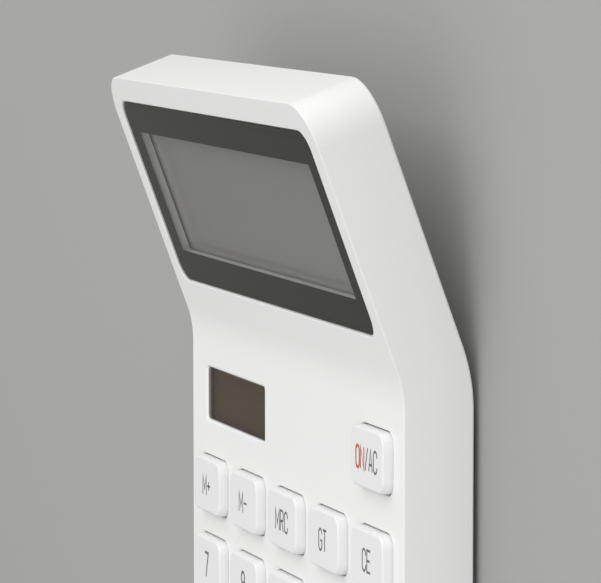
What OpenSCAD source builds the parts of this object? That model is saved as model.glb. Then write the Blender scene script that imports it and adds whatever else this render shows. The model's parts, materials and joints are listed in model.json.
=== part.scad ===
// Desktop calculator with a fixed, tilted display head, lying on its rubber feet.
// The origin is on the table under the middle; +Y runs up the keypad to the display.

/* [Case] */
// Width of the case
case_w = 110; // [104:0.5:140]
// Thickness of the case, front face to back face
case_t = 11.7; // [11.2:0.1:16]
// Length of the keypad deck, from its near end to the bend
deck_l = 97; // [96:0.5:130]
// Length of the display head, from the bend to its far end
head_l = 48; // [46:0.5:70]
// Angle of the display head above the keypad deck
head_tilt = 20.3; // [10:0.1:35]
// Radius of the bend in the front face
bend_r = 18; // [8:0.5:24]
// Radius of the case's corners
corner_r = 7.5; // [4:0.1:9]
// Wall of the front shell
wall = 2; // [1.8:0.05:2.2]
// Thickness of the back cover
cover_t = 1.6; // [1.2:0.1:2]
// Gap round the back cover, inside the rim
cover_gap = 0.2; // [0.1:0.05:0.4]
// How far the back cover sits inside the rim
cover_inset = 0.2; // [0:0.05:0.5]

/* [Display] */
// Width of the display lens
lens_w = 101.7; // [90:0.1:102]
// Height of the display lens
lens_h = 34.4; // [28:0.1:35]
// Thickness of the display lens
lens_t = 0.3; // [0.2:0.05:1.2]
// Corner radius of the display lens
lens_r = 3.3; // [1:0.1:5]
// White margin between the lens and the far end of the head
lens_margin = 4.7; // [3.5:0.1:6]
// How far the lens sits below the face of the head
lens_inset = 0.1; // [0.05:0.05:0.2]
// Gap round the lens in its pocket
lens_gap = 0.15; // [0.1:0.05:0.3]
// Thickness of the dark mask behind the lens
mask_t = 0.1; // [0.05:0.01:0.15]
// Width of the clear window in the mask
window_w = 92; // [80:0.1:93]
// Height of the clear window in the mask
window_h = 22.8; // [18:0.1:23]
// How far the wall under the mask stays back from the window
window_relief = 0.5; // [0.2:0.1:0.8]
// Width of the LCD glass
lcd_w = 96; // [94:0.5:97]
// Height of the LCD glass
lcd_h = 27; // [24:0.5:28]
// Thickness of the LCD glass
lcd_t = 1.8; // [1.4:0.1:2]
// Thickness of the reflector behind the LCD
reflector_t = 0.2; // [0.1:0.05:0.3]
// Gap between the wall under the mask and the LCD glass
lcd_gap = 0.3; // [0.1:0.05:0.5]
// Gap round the LCD in its tray
lcd_side_gap = 0.2; // [0.1:0.05:0.4]
// Wall and floor of the LCD tray
tray_wall = 1; // [0.8:0.1:1.2]

/* [Solar cell] */
// Width of the solar opening
solar_w = 32.8; // [24:0.1:36]
// Height of the solar opening
solar_h = 9.5; // [7:0.1:11]
// Middle of the solar opening, left of the case's middle
solar_x = 30.3; // [26:0.1:32]
// Middle of the solar opening, below the bend
solar_y = 12; // [10:0.1:13]
// Depth of the solar window's raised middle below the deck
solar_inset = 0.3; // [0.1:0.05:0.5]
// Depth of the solar window's lap below the deck
solar_depth = 0.8; // [0.6:0.1:1.4]
// Thickness of the solar window's lap
solar_cover_t = 0.6; // [0.5:0.1:1]
// Overlap of the solar window behind its opening
solar_lap = 1; // [0.6:0.1:1.5]
// Thickness of the solar cell
cell_glass_t = 1.1; // [0.7:0.1:1.4]
// Thickness of the retaining rib round the solar cell
rib_t = 0.8; // [0.6:0.1:1.2]
// Gap round the solar window and cell
solar_gap = 0.1; // [0.05:0.05:0.2]
// Diameter of a solar lead
lead_d = 0.6; // [0.4:0.1:1]
// Distance of a solar lead from the end of the opening
lead_inset = 1.8; // [1:0.1:4]

/* [Keys] */
// Width of a key
key_w = 15.2; // [11:0.1:16]
// Height of a key
key_h = 9.8; // [7:0.1:10.2]
// Corner radius of a key
key_r = 2.2; // [1:0.1:3]
// How far the keys stand above the deck
key_rise = 1.6; // [1.3:0.1:3]
// Travel of a key
key_travel = 1.2; // [0.6:0.1:1.3]
// Gap round a key in its opening
key_gap = 0.25; // [0.15:0.05:0.4]
// White margin between the outer keys and the case's sides
keypad_side = 5.3; // [4.8:0.1:9]
// White margin between the last row of keys and the near end of the case
keypad_end = 6.2; // [5.5:0.1:9]
// Middle of the power key, below the bend
power_y = 12; // [11.5:0.1:13]
// Middle of the first full row of keys, below the bend
first_row_y = 28.3; // [26.5:0.1:29]
// Width of the flange that holds a key under the deck
flange_w = 0.8; // [0.5:0.1:1]
// Thickness of the key's flange
flange_t = 0.8; // [0.6:0.1:1]
// Gap between the flange and the deck's underside
flange_gap = 0.1; // [0.05:0.05:0.3]
// Wall of the key cap
key_wall = 1.2; // [0.9:0.1:1.4]
// Diameter of the post under a key
post_d = 3.6; // [3:0.1:4.5]
// Room left under the flange when a key is fully pressed
press_room = 0.4; // [0.3:0.1:0.6]

/* [Keypad and board] */
// Thickness of the rubber sheet
mat_t = 0.8; // [0.6:0.1:1]
// Height of a rubber dome above the sheet
dome_h = 1.6; // [1.5:0.1:1.8]
// Diameter of a rubber dome at its foot
dome_d = 7.6; // [6:0.1:8.4]
// Diameter of a rubber dome at its top
dome_top_d = 4.2; // [3:0.1:5]
// Gap between a key's post and its dome
dome_gap = 0.1; // [0.05:0.05:0.3]
// How far the rubber sheet stays inside the board's edge
mat_edge = 1; // [0.5:0.1:1.5]
// Thickness of the circuit board
board_t = 1.2; // [1:0.1:1.4]
// Gap between the board's edge and the shell's wall
board_gap = 2.2; // [1.5:0.1:4]
// Gap round a boss where it passes the board or the sheet
boss_gap = 0.3; // [0.2:0.05:0.6]
// Width of the flat ribbon from the LCD to the board
ribbon_w = 70; // [40:1:80]
// Thickness of the flat ribbon
ribbon_t = 0.2; // [0.1:0.02:0.2]
// Length of the ribbon that is bonded to the LCD
ribbon_bond = 2; // [1:0.1:2.2]
// Gap between the ribbon and the rubber sheet
ribbon_gap = 0.3; // [0.1:0.05:0.5]
// Diameter of the sealed cap over the chip
chip_d = 11; // [8:0.5:14]
// Height of the sealed cap over the chip
chip_h = 1.2; // [0.8:0.1:1.4]
// Length of a small part on the board
part_l = 2; // [1:0.1:3]
// Width of a small part on the board
part_w = 1.25; // [0.5:0.05:1.6]
// Height of a small part on the board
part_h = 0.6; // [0.3:0.05:1.2]
// Distance between the small parts
part_pitch = 5; // [4:0.1:8]
// Number of small parts
part_count = 7; // [3:1:9]

/* [Fasteners] */
// Diameter of the case and board screws
screw_d = 1.9; // [1.6:0.1:2.2]
// Diameter of the screw heads
screw_head_d = 3.8; // [3:0.1:4.2]
// Thickness of the screw heads
screw_head_t = 0.9; // [0.7:0.1:1]
// Length of thread below the head
screw_l = 5; // [4:0.5:6]
// How far the screw heads sit below the cover's face
head_sink = 0.1; // [0:0.05:0.2]
// Outer diameter of the screw bosses
boss_d = 5; // [4:0.1:5.4]
// Distance of the head's screws past the bend
head_screw_past = 4; // [3:0.1:5]
// Clearance on the radius of a screw in its boss
screw_gap = 0.05; // [0.02:0.01:0.1]
// Clearance on the radius of a screw through a cover, board or sheet
pass_gap = 0.3; // [0.2:0.05:0.5]

/* [Battery] */
// Diameter of the button cell
cell_d = 11.6; // [9.5:0.1:12]
// Thickness of the button cell
cell_t = 3; // [2:0.1:3]
// Thickness of the contact springs
contact_t = 0.3; // [0.2:0.05:0.4]
// Width of the contact springs
contact_w = 4; // [3:0.1:5]
// Width of the battery door
door_w = 26; // [22:0.5:32]
// Height of the battery door
door_h = 17; // [15:0.5:20]
// Thickness of the battery door
door_t = 1; // [0.8:0.05:1.1]
// Corner radius of the battery door
door_r = 2; // [1:0.1:4]
// Gap round the battery door
door_gap = 0.25; // [0.15:0.05:0.4]
// Gap round the button cell
cell_gap = 0.4; // [0.2:0.05:0.6]
// Distance of the cell and the door screw from the ends of the door
door_edge = 1.5; // [1:0.1:2]
// Length of the boss for the door screw, inside the cover
door_boss_l = 2; // [1.5:0.1:2.5]
// Diameter of the battery leads
wire_d = 0.8; // [0.6:0.1:1]
// Gap between a lead and what it lies along
wire_gap = 0.05; // [0.02:0.01:0.1]
// How far below the bend the battery leads land on the board
wire_reach = 8.1; // [7:0.1:12]

/* [Feet] */
// Diameter of a rubber foot
foot_d = 9; // [6:0.1:11]
// Height of a foot below the back of the case
foot_h = 1; // [0.8:0.1:2]
// Depth of the recess that holds a foot
foot_seat = 0.6; // [0.3:0.05:0.8]
// Gap round a foot in its recess
foot_gap = 0.1; // [0.05:0.05:0.2]
// Distance of a foot's middle from the case's edges
foot_edge = 13; // [9:0.5:20]

/* [Hidden] */
$fn = 64;
eps = 0.01;
// How far a cut runs past the face that it opens.
cut = 1;
// Flat steps round the bend.
bend_steps = 16;
// Longer than the whole case, for outlines that run past its far end.
span = deck_l + head_l;

// Key rows from the display down, each listed from left to right.
POWER_KEY = "key_on_ac";
KEY_ROWS = [
    ["key_m_plus", "key_m_minus", "key_mrc", "key_gt", "key_ce"],
    ["key_7", "key_8", "key_9", "key_percent", "key_root"],
    ["key_4", "key_5", "key_6", "key_multiply", "key_divide"],
    ["key_1", "key_2", "key_3", "key_plus", "key_minus"],
    ["key_0", "key_00", "key_point", "key_sign", "key_equals"]
];
KEYS = concat([POWER_KEY], [for (row = KEY_ROWS) each row]);

COLUMNS = len(KEY_ROWS[0]);
ROWS = len(KEY_ROWS);
col_pitch = (case_w - key_w - 2 * keypad_side) / (COLUMNS - 1);
row_pitch = (deck_l - key_h / 2 - keypad_end - first_row_y) / (ROWS - 1);
function column_x(column) = (column - (COLUMNS - 1) / 2) * col_pitch;
function row_y(row) = -first_row_y - row * row_pitch;
function key_place(row, column) = [column_x(column), row_y(row)];
power_place = [column_x(COLUMNS - 1), -power_y];
key_places = concat([power_place], [for (r = [0:ROWS - 1]) for (c = [0:COLUMNS - 1]) key_place(r, c)]);

// Where the flat faces give way to the bend, and the case's reach.
bend_run = bend_r * tan(head_tilt / 2);
head_reach = head_l * cos(head_tilt) + case_t * sin(head_tilt);
rest_y = (deck_l - head_reach) / 2;
rest_z = case_t + foot_h;

// Depths below the front face.
cover_back = case_t - cover_inset;
cover_top = cover_back - cover_t;
flange_top = wall + flange_gap;
post_end = flange_top + flange_t + key_travel + press_room;
mat_top = post_end + dome_gap + dome_h;
board_top = mat_top + mat_t;
board_back = board_top + board_t;
mask_top = lens_inset + lens_t;
pocket_depth = mask_top + mask_t;
lcd_top = wall + lcd_gap;
reflector_top = lcd_top + lcd_t;
tray_floor = reflector_top + reflector_t;
tray_back = tray_floor + tray_wall;
solar_cell_top = solar_depth + solar_cover_t;
solar_cell_back = solar_cell_top + cell_glass_t;
door_top = cover_back - door_t;
cell_top = door_top - cell_t;

// Display parts, about the middle of the lens.
lens_mid = head_l - lens_margin - lens_h / 2;
tray_pocket = [lcd_w + 2 * lcd_side_gap, lcd_h + 2 * lcd_side_gap];
tray_size = [tray_pocket[0] + 2 * tray_wall, tray_pocket[1] + 2 * tray_wall];
lcd_near = lens_mid - lcd_h / 2;
tray_near = lens_mid - tray_size[1] / 2;

// Solar pocket behind the deck, and the leads below it.
solar_size = [solar_w + 2 * solar_lap, solar_h + 2 * solar_lap];
solar_pocket = [solar_size[0] + 2 * solar_gap, solar_size[1] + 2 * solar_gap];
lead_places = [for (x = [-1, 1]) [x * (solar_w / 2 - lead_inset) - solar_x, -solar_y]];

// Board and sheet outlines, and the screws between the keys.
board_half_w = case_w / 2 - wall - board_gap;
board_near = -(deck_l - wall - board_gap);
board_far = -bend_run - wall;
mat_far = -power_y + dome_d / 2 + mat_edge;
function gap_place(row, column) = [column_x(column) + col_pitch / 2, row_y(row) - row_pitch / 2];
last_gap_row = ROWS - 2;
last_gap_col = COLUMNS - 2;
deck_screws = [for (r = [0, last_gap_row], c = [0, last_gap_col]) gap_place(r, c)];
board_screw_places = [for (r = [0, last_gap_row], c = [1, last_gap_col - 1]) gap_place(r, c)];
head_screw_x = case_w / 2 - wall - boss_d;
head_screw_u = bend_run + head_screw_past;
head_screws = [for (x = [-1, 1]) [x * head_screw_x, head_screw_u]];
counterbore = screw_head_t + head_sink;
foot_far = -bend_run - foot_d;
foot_places = [for (x = [-1, 1], y = [-deck_l + foot_edge, foot_far]) [x * (case_w / 2 - foot_edge), y]];

// Battery parts, on the middle of the head's back.
battery_u = lens_mid;
cell_x = -door_w / 2 + cell_d / 2 + door_edge;
door_screw_x = door_w / 2 - screw_head_d / 2 - door_edge;
plus_x = cell_x - cell_d / 2 - wire_gap;
minus_x = cell_x + cell_d / 2;
wire_r = wire_d / 2;
wire_x = [plus_x - contact_w / 2, minus_x - contact_w / 2];
wire_turn = bend_run + boss_d;

// A point of the head's profile in the Y-Z plane: u along the head, depth below its face.
function head_point(u, depth) =
    [u * cos(head_tilt) + depth * sin(head_tilt), u * sin(head_tilt) - depth * cos(head_tilt)];

module stand() { translate([0, rest_y, rest_z]) children(); }
module on_head() { rotate([head_tilt, 0, 0]) children(); }
module down(depth) { translate([0, 0, -depth]) children(); }

// A rounded rectangle of the given size about the origin.
module rounded(w, h, r) {
    square([w - 2 * r, h], center = true);
    square([w, h - 2 * r], center = true);
    for (x = [-1, 1], y = [-1, 1])
        translate([x * (w / 2 - r), y * (h / 2 - r)]) circle(r);
}

// A plate between two depths below the face it lies in.
module plate(top, bottom) {
    translate([0, 0, -bottom]) linear_extrude(bottom - top) children();
}

// Outline of the case from one end, with that end's rounded corners, on past its other end.
module leaf(inset, length) {
    w = case_w - 2 * inset;
    r = corner_r - inset;
    end = length - inset;
    translate([-w / 2, -span]) square([w, end - r + span]);
    translate([-w / 2 + r, 0]) square([w - 2 * r, end]);
    for (x = [-1, 1]) translate([x * (w / 2 - r), end - r]) circle(r);
}

// Points of the bend in the Y-Z plane, at a depth below the front face.
function bend_arc(depth) = [for (i = [0:bend_steps]) let (a = head_tilt * i / bend_steps)
    [(bend_r + depth) * sin(a) - bend_run, bend_r - (bend_r + depth) * cos(a)]];
function reversed(points) = [for (i = [len(points) - 1:-1:0]) points[i]];

// The bent strip between two depths, seen from the side, longer than the case at both ends.
function strip(top, bottom) = concat(
    [[-span, -top]], bend_arc(top), [head_point(span, top)],
    [head_point(span, bottom)], reversed(bend_arc(bottom)), [[-span, -bottom]]);

// The bent slab of the case between two depths, drawn in from its outline by inset.
module slab(inset, top, bottom) {
    intersection() {
        translate([case_w, 0, 0]) across() linear_extrude(2 * case_w) polygon(strip(top, bottom));
        plate(-span, span) mirror([0, 1]) leaf(inset, deck_l);
        on_head() plate(-span, span) leaf(inset, head_l);
    }
}

// Turns a Y-Z profile so that it is extruded along -X.
module across() { rotate([90, 0, -90]) mirror([1, 0, 0]) children(); }

module at_deck_points(points) { for (p = points) translate([p[0], p[1], 0]) children(); }

module bosses(top, bottom, d) {
    at_deck_points(deck_screws) plate(top, bottom) circle(d = d);
    on_head() at_deck_points(head_screws) plate(top, bottom) circle(d = d);
}

module front_shell() {
    color("whitesmoke") stand() difference() {
        union() {
            difference() {
                slab(0, 0, case_t);
                slab(wall, wall, case_t + cut);
            }
            bosses(wall - eps, cover_top, boss_d);
            at_deck_points(board_screw_places) plate(wall - eps, board_top) circle(d = boss_d);
            solar_rib();
        }
        for (p = key_places) translate([p[0], p[1], 0])
            plate(-cut, wall + cut) rounded(key_w + 2 * key_gap, key_h + 2 * key_gap, key_r + key_gap);
        on_head() translate([0, lens_mid, 0]) {
            plate(-cut, pocket_depth)
                rounded(lens_w + 2 * lens_gap, lens_h + 2 * lens_gap, lens_r + lens_gap);
            plate(-cut, wall + cut)
                square([window_w + 2 * window_relief, window_h + 2 * window_relief], center = true);
        }
        translate([-solar_x, -solar_y, 0]) {
            plate(-cut, wall + cut) square([solar_w, solar_h], center = true);
            plate(solar_depth, solar_cell_back + cut) square(solar_pocket, center = true);
        }
        screw_bores(cover_top);
        at_deck_points(board_screw_places) plate(board_top - screw_l, board_top + cut)
            circle(screw_d / 2 + screw_gap);
    }
}

module solar_rib() {
    translate([-solar_x, -solar_y, 0]) plate(wall - eps, solar_cell_back)
        square([solar_pocket[0] + 2 * rib_t, solar_pocket[1] + 2 * rib_t], center = true);
}

// The blind holes that the case screws cut their threads in.
module screw_bores(mouth) {
    r = screw_d / 2 + screw_gap;
    at_deck_points(deck_screws) plate(mouth - screw_l, mouth + cut) circle(r);
    on_head() at_deck_points(head_screws) plate(mouth - screw_l, mouth + cut) circle(r);
}

module back_cover() {
    color("whitesmoke") stand() difference() {
        union() {
            slab(wall + cover_gap, cover_top, cover_back);
            on_head() translate([door_screw_x, battery_u, 0])
                plate(cover_top - door_boss_l, cover_top + eps) circle(d = boss_d);
        }
        bosses(cover_top - cut, cover_back + cut, screw_d + 2 * pass_gap);
        bosses(cover_back - counterbore, cover_back + cut, screw_head_d + 2 * pass_gap);
        at_deck_points(foot_places) plate(cover_back - foot_seat, cover_back + cut)
            circle(foot_d / 2 + foot_gap);
        on_head() translate([0, battery_u, 0]) {
            plate(door_top, cover_back + cut)
                rounded(door_w + 2 * door_gap, door_h + 2 * door_gap, door_r + door_gap);
            translate([cell_x, 0, 0]) plate(cover_top - cut, cover_back) circle(cell_d / 2 + cell_gap);
            translate([door_screw_x, 0, 0])
                plate(cover_top - door_boss_l - cut, cover_back) circle(screw_d / 2 + screw_gap);
        }
    }
}

module display_lens() {
    color("slategray", 0.4) stand() on_head() translate([0, lens_mid, 0])
        plate(lens_inset, mask_top) rounded(lens_w, lens_h, lens_r);
}

module display_mask() {
    color("darkslategray") stand() on_head() translate([0, lens_mid, 0]) plate(mask_top, pocket_depth)
        difference() {
            rounded(lens_w, lens_h, lens_r);
            square([window_w, window_h], center = true);
        }
}

module lcd_glass() {
    color("gray") stand() on_head() translate([0, lens_mid, 0])
        plate(lcd_top, reflector_top) square([lcd_w, lcd_h], center = true);
}

// The reflector stops short of the near edge, where the ribbon is bonded to the glass.
module lcd_reflector() {
    shown = lcd_h - ribbon_bond - lcd_gap;
    color("silver") stand() on_head() translate([0, lens_mid + (lcd_h - shown) / 2, 0])
        plate(reflector_top, tray_floor) square([lcd_w, shown], center = true);
}

module lcd_tray() {
    color("lightgray") stand() on_head() translate([0, lens_mid, 0]) difference() {
        plate(wall, tray_back) square(tray_size, center = true);
        plate(wall - cut, tray_floor) square(tray_pocket, center = true);
        translate([0, -tray_size[1] / 2, 0]) plate(reflector_top - lcd_gap, tray_floor)
            square([ribbon_w + 2 * lcd_gap, 2 * (tray_wall + cut)], center = true);
    }
}

// A flat strip that leaves the LCD in the plane of its back and lands on the board's front.
module lcd_ribbon() {
    bonded = lcd_near + ribbon_bond;
    leaves = tray_near - lcd_gap;
    lands = mat_far + ribbon_gap;
    ribbon_back = reflector_top + ribbon_t;
    front = [head_point(bonded, reflector_top), head_point(leaves, reflector_top),
             [board_far, ribbon_t - board_top], [lands, ribbon_t - board_top]];
    back = [[lands, -board_top], [board_far, -board_top],
            head_point(leaves, ribbon_back), head_point(bonded, ribbon_back)];
    color("tan") stand() translate([ribbon_w / 2, 0, 0]) across() linear_extrude(ribbon_w)
        polygon(concat(front, back));
}

module board_outline(edge, far) {
    near = board_near + edge;
    translate([0, (near + far) / 2]) square([2 * (board_half_w - edge), far - near], center = true);
}

module main_board() {
    color("darkgreen") stand() plate(board_top, board_back) difference() {
        board_outline(0, board_far);
        at_deck_points(deck_screws) circle(boss_d / 2 + boss_gap);
        at_deck_points(board_screw_places) circle(screw_d / 2 + pass_gap);
    }
}

module chip_cap() {
    ball = (chip_d * chip_d / 4 + chip_h * chip_h) / (2 * chip_h);
    color("black") stand() translate([0, row_y(1), -board_back]) intersection() {
        translate([0, 0, ball - chip_h]) sphere(ball, $fn = 200);
        translate([0, 0, -ball]) cylinder(r = ball, h = ball);
    }
}

// Small surface-mounted parts in a row on the board's back.
module board_parts() {
    first = -(part_count - 1) / 2 * part_pitch;
    color("dimgray") stand() for (i = [0:part_count - 1])
        translate([first + i * part_pitch, row_y(2), -board_back - part_h / 2])
            cube([part_l, part_w, part_h], center = true);
}

// Rubber sheet with one hollow dome under each key.
module rubber_mat() {
    color("lightgray") stand() difference() {
        union() {
            plate(mat_top, board_top) board_outline(mat_edge, mat_far);
            at_deck_points(key_places) down(mat_top) cylinder(d1 = dome_d, d2 = dome_top_d, h = dome_h);
        }
        at_deck_points(key_places) down(board_top)
            cylinder(d1 = dome_d - mat_t, d2 = dome_top_d - mat_t, h = dome_h);
        at_deck_points(concat(deck_screws, board_screw_places)) plate(mat_top - cut, board_top + cut)
            circle(boss_d / 2 + boss_gap);
        at_deck_points(lead_places) plate(mat_top - cut, board_top + cut) circle(lead_d / 2 + boss_gap);
    }
}

// A clear window that fills its opening, with a lap behind the deck.
module solar_window() {
    color("gainsboro", 0.4) stand() translate([-solar_x, -solar_y, 0]) {
        plate(solar_depth, solar_cell_top) square(solar_size, center = true);
        plate(solar_inset, solar_depth + eps)
            square([solar_w - 2 * solar_gap, solar_h - 2 * solar_gap], center = true);
    }
}

module solar_cell() {
    color("saddlebrown") stand() translate([-solar_x, -solar_y, 0])
        plate(solar_cell_top, solar_cell_back) square(solar_size, center = true);
}

module solar_leads() {
    color("goldenrod") stand() at_deck_points(lead_places)
        plate(solar_cell_back, board_top) circle(d = lead_d);
}

module button_cell() {
    color("silver") stand() on_head() translate([cell_x, battery_u, 0])
        plate(cell_top, door_top) circle(d = cell_d);
}

// A bent strip of contact metal: points give X and depth, the strip runs along the head.
module contact_strip(points) {
    back = [for (i = [len(points) - 1:-1:0]) [points[i][0], points[i][1] + contact_t]];
    color("gold") stand() on_head() translate([0, battery_u + contact_w / 2, 0]) rotate([90, 0, 0])
        linear_extrude(contact_w) mirror([0, 1]) polygon(concat(points, back));
}

// Foot on the tray, and an arm that springs against the middle of the cell.
module cell_contact_minus() {
    contact_strip([[minus_x, tray_back], [minus_x - contact_w, tray_back],
                   [cell_x, cell_top - contact_t], [cell_x - contact_w, cell_top - contact_t]]);
}

// Foot on the tray, and an upright that stands against the rim of the cell.
module cell_contact_plus() {
    rise = cell_top + cell_t / 2;
    color("gold") stand() on_head() translate([0, battery_u, 0]) {
        translate([plus_x - contact_w / 2, 0, 0]) plate(tray_back, tray_back + contact_t)
            square([contact_w, contact_w], center = true);
        translate([plus_x - contact_t / 2, 0, 0]) plate(tray_back, rise)
            square([contact_t, contact_w], center = true);
    }
}

// Two insulated wires from the contacts' feet, over the bend, to the back of the board.
module battery_leads() {
    along = tray_back + wire_gap + wire_r;
    dip = -(board_back + cover_top) / 2;
    start = head_point(battery_u - contact_w / 2 - wire_gap, along);
    turn = head_point(wire_turn, along);
    low = [board_far + wall, dip];
    end = [-wire_reach, -board_back - wire_gap - wire_r];
    elbow_r = wire_r + wire_gap / 2;
    color("firebrick") stand() for (x = wire_x) translate([x, 0, 0]) {
        rod(start, turn);
        rod(turn, low);
        rod(low, end);
        for (p = [turn, low]) translate([0, p[0], p[1]]) sphere(elbow_r);
    }
}

// A length of wire between two points of the Y-Z plane.
module rod(from, to) {
    step = to - from;
    translate([0, from[0], from[1]]) rotate([atan2(step[1], step[0]) - 90, 0, 0])
        cylinder(r = wire_r, h = norm(step));
}

module battery_door() {
    color("whitesmoke") stand() on_head() translate([0, battery_u, 0]) difference() {
        plate(door_top, cover_back) rounded(door_w, door_h, door_r);
        translate([door_screw_x, 0, 0]) sunk_screw(screw_gap, door_t);
    }
}

// Countersunk screw, flush with the door; gap widens it into its own hole.
module sunk_screw(gap, length) {
    down(cover_back) cylinder(r1 = screw_head_d / 2 + gap, r2 = screw_d / 2 + gap, h = screw_head_t);
    plate(cover_back - length, cover_back) circle(screw_d / 2 + gap);
}

module door_screw() {
    color("silver") stand() on_head() translate([door_screw_x, battery_u, 0])
        sunk_screw(0, cover_t + door_boss_l);
}

// A pan-head screw whose head bears on the given depth.
module pan_screw(bearing) {
    plate(bearing - screw_l + cover_t, bearing) circle(d = screw_d);
    plate(bearing, bearing + screw_head_t) circle(d = screw_head_d);
}

module case_screws() {
    bearing = cover_back - counterbore;
    color("silver") stand() {
        at_deck_points(deck_screws) pan_screw(bearing);
        on_head() at_deck_points(head_screws) pan_screw(bearing);
    }
}

module board_screws() {
    color("silver") stand() at_deck_points(board_screw_places) pan_screw(board_back);
}

module rubber_feet() {
    color("dimgray") stand() at_deck_points(foot_places)
        plate(cover_back - foot_seat, case_t + foot_h) circle(d = foot_d);
}

// Hollow key cap with a holding flange below the deck and a post over its dome.
module key(place) {
    flange_back = flange_top + flange_t;
    spread = 2 * (key_gap + flange_w);
    inner_r = max(key_r - key_wall, eps);
    color("white") stand() translate([place[0], place[1], 0]) {
        difference() {
            union() {
                plate(-key_rise, flange_back) rounded(key_w, key_h, key_r);
                plate(flange_top, flange_back) rounded(key_w + spread, key_h + spread, key_r + spread / 2);
            }
            plate(key_wall - key_rise, flange_back + cut)
                rounded(key_w - 2 * key_wall, key_h - 2 * key_wall, inner_r);
        }
        plate(key_wall - key_rise - eps, post_end) circle(d = post_d);
    }
}

front_shell();
back_cover();
display_lens();
display_mask();
lcd_glass();
lcd_reflector();
lcd_tray();
lcd_ribbon();
main_board();
chip_cap();
board_parts();
rubber_mat();
solar_window();
solar_cell();
solar_leads();
button_cell();
cell_contact_plus();
cell_contact_minus();
battery_leads();
battery_door();
door_screw();
case_screws();
board_screws();
rubber_feet();
for (i = [0:len(KEYS) - 1])
    key(key_places[i]);
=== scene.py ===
import json
import math

import bmesh
import bpy
from mathutils import Matrix, Vector


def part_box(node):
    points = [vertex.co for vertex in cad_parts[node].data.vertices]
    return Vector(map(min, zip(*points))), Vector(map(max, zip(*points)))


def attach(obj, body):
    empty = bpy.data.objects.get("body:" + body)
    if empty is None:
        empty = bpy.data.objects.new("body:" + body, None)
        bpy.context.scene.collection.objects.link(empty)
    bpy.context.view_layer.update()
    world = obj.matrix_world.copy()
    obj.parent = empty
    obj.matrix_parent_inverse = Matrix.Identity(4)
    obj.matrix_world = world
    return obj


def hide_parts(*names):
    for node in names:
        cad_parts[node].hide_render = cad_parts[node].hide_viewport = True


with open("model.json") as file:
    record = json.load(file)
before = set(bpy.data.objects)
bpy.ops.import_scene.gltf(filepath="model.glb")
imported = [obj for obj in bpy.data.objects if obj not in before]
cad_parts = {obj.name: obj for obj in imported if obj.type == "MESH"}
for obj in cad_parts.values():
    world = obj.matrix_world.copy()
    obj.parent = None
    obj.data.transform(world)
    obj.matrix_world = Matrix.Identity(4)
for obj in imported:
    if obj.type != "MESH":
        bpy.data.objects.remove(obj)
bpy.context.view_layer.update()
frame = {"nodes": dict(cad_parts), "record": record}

# Sizes of the case, in millimetres, as the solids have them
MM = 0.001
CASE_W = 110.0
CASE_T = 11.7
DECK_L = 97.0
HEAD_L = 48.0
TILT = math.radians(20.3)
BEND_R = 18.0
CORNER_R = 7.5
WALL = 2.0
FOOT_H = 1.0
COVER_T = 1.6
COVER_INSET = 0.2
COVER_GAP = 0.2

# Display
LENS_W = 101.7
LENS_H = 34.4
LENS_T = 0.3
LENS_R = 3.3
LENS_MARGIN = 4.7
LENS_INSET = 0.1
LENS_GAP = 0.15
LENS_EASE = 0.12
MASK_T = 0.1
WINDOW_W = 92.0
WINDOW_H = 22.8
WINDOW_R = 0.4
WINDOW_RELIEF = 0.5

# Solar window
SOLAR_W = 32.8
SOLAR_H = 9.5
SOLAR_X = -30.3
SOLAR_S = -12.0
SOLAR_R = 0.7
SOLAR_DEPTH = 0.8
SOLAR_LAP = 1.0
SOLAR_GAP = 0.1
SOLAR_INSET = 0.3
SOLAR_BACK = 1.4
SOLAR_CELL_T = 1.1
SOLAR_RIB = 0.8
SOLAR_RIM = 0.5
SOLAR_EASE = 0.08
SOLAR_CELLS = 4
SCRIBE_W = 0.2

# Keys
KEY_W = 15.2
KEY_H = 9.8
KEY_R = 2.2
KEY_INNER_R = 0.3
KEY_RISE = 1.6
KEY_GAP = 0.25
KEY_FILLET = 0.3
KEY_DRAFT = 0.15
KEY_WALL = 1.2
FLANGE_W = 1.05
FLANGE_TOP = 2.1
FLANGE_T = 0.8
POST_D = 3.6
POST_END = 4.5

# Fasteners, door and feet
SCREW_D = 1.9
SCREW_L = 5.0
SCREW_HEAD_D = 3.8
SCREW_HEAD_T = 0.9
HEAD_SINK = 0.1
CROWN_SHARE = 0.45
CROWN_RATIO = 0.8
SUNK_BEVEL = 0.04
SUNK_RATIO = 0.97
CROSS_W = 0.5
CROSS_L = 2.2
CROSS_DEPTH = 0.6
PASS_GAP = 0.3
SCREW_GAP = 0.05
BOSS_D = 5.0
HEAD_SCREW_PAST = 4.0
BOARD_TOP = 7.0
BOARD_T = 1.2
RUN_PITCH = 2.1
RUN_GAP = 1.3
LINK_PITCH = 5.7
LINK_GAP = 0.8
DOOR_W = 26.0
DOOR_H = 17.0
DOOR_T = 1.0
DOOR_R = 2.0
DOOR_GAP = 0.25
DOOR_EDGE = 1.5
DOOR_BOSS_L = 2.0
CELL_D = 11.6
CELL_GAP = 0.4
FOOT_D = 9.0
FOOT_SEAT = 0.6
FOOT_GAP = 0.1
FOOT_EDGE = 13.0

# Roundings of the moulded edges
FRONT_FILLET = 0.15
BACK_FILLET = 0.4
POCKET_FILLET = 0.2
OPENING_FILLET = 0.3
RIM_FILLET = 0.2
COVER_FILLET = 0.4
DOOR_FILLET = 0.25
FOOT_EASE = 0.3
STUD_SIDES = 32
SHANK_LAP = 0.1
SUPPORT = 0.12
FILLET_STEPS = 5
EASE_STEPS = 3
CORNER_STEPS = 8
BEND_STEPS = 16
SHARP = 40
LEGEND_SHARP = 20
SEAM = 1e-7

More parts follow.
